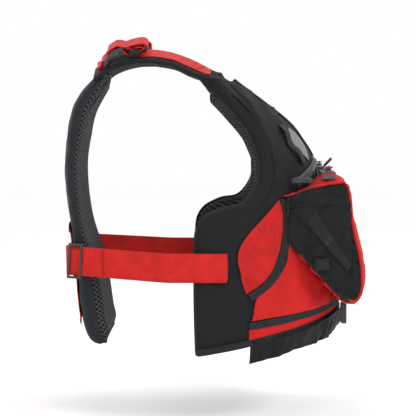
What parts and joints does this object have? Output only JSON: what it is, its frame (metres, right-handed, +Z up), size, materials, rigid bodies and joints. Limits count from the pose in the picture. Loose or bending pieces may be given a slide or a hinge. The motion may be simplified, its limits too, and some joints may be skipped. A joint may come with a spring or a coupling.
{
  "type": "life jacket",
  "caption": "Worn-shape foam flotation vest with padded shoulder straps, side webbing, front zip, cargo pockets, chest pockets and a waist buckle",
  "frame": {"origin": "on the wearer's middle plane, below the neck opening and level with the skirt's lowest edge", "axes": "+Z up, the wearer faces -Y, the wearer's left is +X"},
  "size_m": [0.3686, 0.4647, 0.5047],
  "materials": {
    "black_cloth": "matt woven nylon",
    "back_cloth": "matt woven nylon, dark blue-grey",
    "red_cloth": "matt woven nylon",
    "spacer_mesh": "diamond spacer mesh",
    "foam": "closed-cell foam",
    "red_webbing": "ribbed webbing",
    "black_webbing": "ribbed webbing",
    "zip_tape": "woven tape with moulded teeth",
    "moulded_grey": "satin moulded",
    "moulded_black": "satin moulded"
  },
  "bodies": {
    "vest": {"back_cover": "back_cloth", "back_foam": "foam", "back_mesh_liner": "spacer_mesh", "back_red_panel": "red_cloth", "side_webbing": "red_webbing", "buckle_female": "moulded_black", "front_cover_right": "black_cloth", "front_cover_left": "black_cloth", "front_foam_right": "foam", "front_foam_left": "foam", "front_mesh_liner_right": "spacer_mesh", "front_mesh_liner_left": "spacer_mesh", "red_side_panel_right": "red_cloth", "red_side_panel_left": "red_cloth", "red_lower_panel_right": "red_cloth", "red_lower_panel_left": "red_cloth", "waist_skirt_right": "black_cloth", "waist_skirt_left": "black_cloth", "chest_zip_right": "zip_tape", "chest_zip_left": "zip_tape", "daisy_chain_right": "black_webbing", "daisy_chain_left": "black_webbing", "main_zip_right": "zip_tape", "main_zip_left": "zip_tape", "pocket_front_right": "red_cloth", "pocket_front_left": "red_cloth", "pocket_side_right": "black_cloth", "pocket_side_left": "black_cloth", "pocket_lid_right": "red_cloth", "pocket_lid_left": "red_cloth", "pocket_zip_right": "zip_tape", "pocket_zip_left": "zip_tape", "shoulder_pad_right": "black_cloth", "shoulder_pad_left": "black_cloth", "shoulder_webbing_right": "red_webbing", "shoulder_webbing_left": "red_webbing", "anchor_webbing_right": "red_webbing", "anchor_webbing_left": "red_webbing", "webbing_tail_right": "red_webbing", "webbing_tail_left": "red_webbing", "elastic_keeper_right": "black_webbing", "elastic_keeper_left": "black_webbing", "waist_webbing_right": "black_webbing"},
    "main_slider": {"main_zip_slider": "moulded_grey"},
    "main_pull": {"main_zip_pull": "moulded_black"},
    "buckle_release": {"buckle_male": "moulded_black", "waist_webbing_left": "black_webbing"},
    "chest_slider_right": {"chest_zip_slider_right": "moulded_grey"},
    "chest_pull_right": {"chest_zip_pull_right": "moulded_grey"},
    "pocket_slider_right": {"pocket_zip_slider_right": "moulded_grey"},
    "pocket_pull_right": {"pocket_zip_pull_right": "red_webbing"},
    "ladder_lock_right": {"ladder_lock_right": "moulded_black"},
    "tri_glide_right": {"tri_glide_right": "moulded_black"},
    "chest_slider_left": {"chest_zip_slider_left": "moulded_grey"},
    "chest_pull_left": {"chest_zip_pull_left": "moulded_grey"},
    "pocket_slider_left": {"pocket_zip_slider_left": "moulded_grey"},
    "pocket_pull_left": {"pocket_zip_pull_left": "red_webbing"},
    "ladder_lock_left": {"ladder_lock_left": "moulded_black"},
    "tri_glide_left": {"tri_glide_left": "moulded_black"}
  },
  "joints": [
    {"name": "main_zip_slide", "type": "slide", "parent": "vest", "child": "main_slider", "axis": [0, 0.1838, 0.983], "range_m": [-0.187, 0]},
    {"name": "main_pull_tilt", "type": "hinge", "parent": "main_slider", "child": "main_pull", "pos_m": [0, -0.1781, 0.2959], "axis": [1, 0, 0], "range_deg": [-50, 122]},
    {"name": "buckle_release_slide", "type": "slide", "parent": "vest", "child": "buckle_release", "axis": [1, 0, 0], "range_m": [0, 0.025]},
    {"name": "chest_zip_slide_right", "type": "slide", "parent": "vest", "child": "chest_slider_right", "axis": [0.8461, -0.4119, 0.3383], "range_m": [0, 0.02]},
    {"name": "chest_pull_swing_right", "type": "hinge", "parent": "chest_slider_right", "child": "chest_pull_right", "pos_m": [-0.11919, -0.14822, 0.28196], "axis": [-0.229, 0.2922, 0.9285], "range_deg": [0, 8]},
    {"name": "pocket_zip_slide_right", "type": "slide", "parent": "vest", "child": "pocket_slider_right", "axis": [1, 0, 0], "range_m": [0, 0.078]},
    {"name": "pocket_pull_lift_right", "type": "hinge", "parent": "pocket_slider_right", "child": "pocket_pull_right", "pos_m": [-0.126, -0.182, 0.3028], "axis": [0, 1, 0], "range_deg": [0, 150]},
    {"name": "ladder_lock_tilt_right", "type": "hinge", "parent": "vest", "child": "ladder_lock_right", "pos_m": [-0.10267, 0.16344, 0.46792], "axis": [-0.9611, 0, -0.2764], "range_deg": [-24, 8]},
    {"name": "tri_glide_slide_right", "type": "slide", "parent": "vest", "child": "tri_glide_right", "axis": [-0.1951, -0.9787, -0.064], "range_m": [0, 0.11]},
    {"name": "chest_zip_slide_left", "type": "slide", "parent": "vest", "child": "chest_slider_left", "axis": [-0.8461, -0.4119, 0.3383], "range_m": [0, 0.02]},
    {"name": "chest_pull_swing_left", "type": "hinge", "parent": "chest_slider_left", "child": "chest_pull_left", "pos_m": [0.11919, -0.14822, 0.28196], "axis": [-0.229, -0.2922, -0.9285], "range_deg": [0, 8]},
    {"name": "pocket_zip_slide_left", "type": "slide", "parent": "vest", "child": "pocket_slider_left", "axis": [-1, 0, 0], "range_m": [0, 0.078]},
    {"name": "pocket_pull_lift_left", "type": "hinge", "parent": "pocket_slider_left", "child": "pocket_pull_left", "pos_m": [0.126, -0.182, 0.3028], "axis": [0, -1, 0], "range_deg": [0, 150]},
    {"name": "ladder_lock_tilt_left", "type": "hinge", "parent": "vest", "child": "ladder_lock_left", "pos_m": [0.10267, 0.16344, 0.46792], "axis": [-0.9611, 0, 0.2764], "range_deg": [-24, 8]},
    {"name": "tri_glide_slide_left", "type": "slide", "parent": "vest", "child": "tri_glide_left", "axis": [0.1951, -0.9787, -0.064], "range_m": [0, 0.11]}
  ]
}
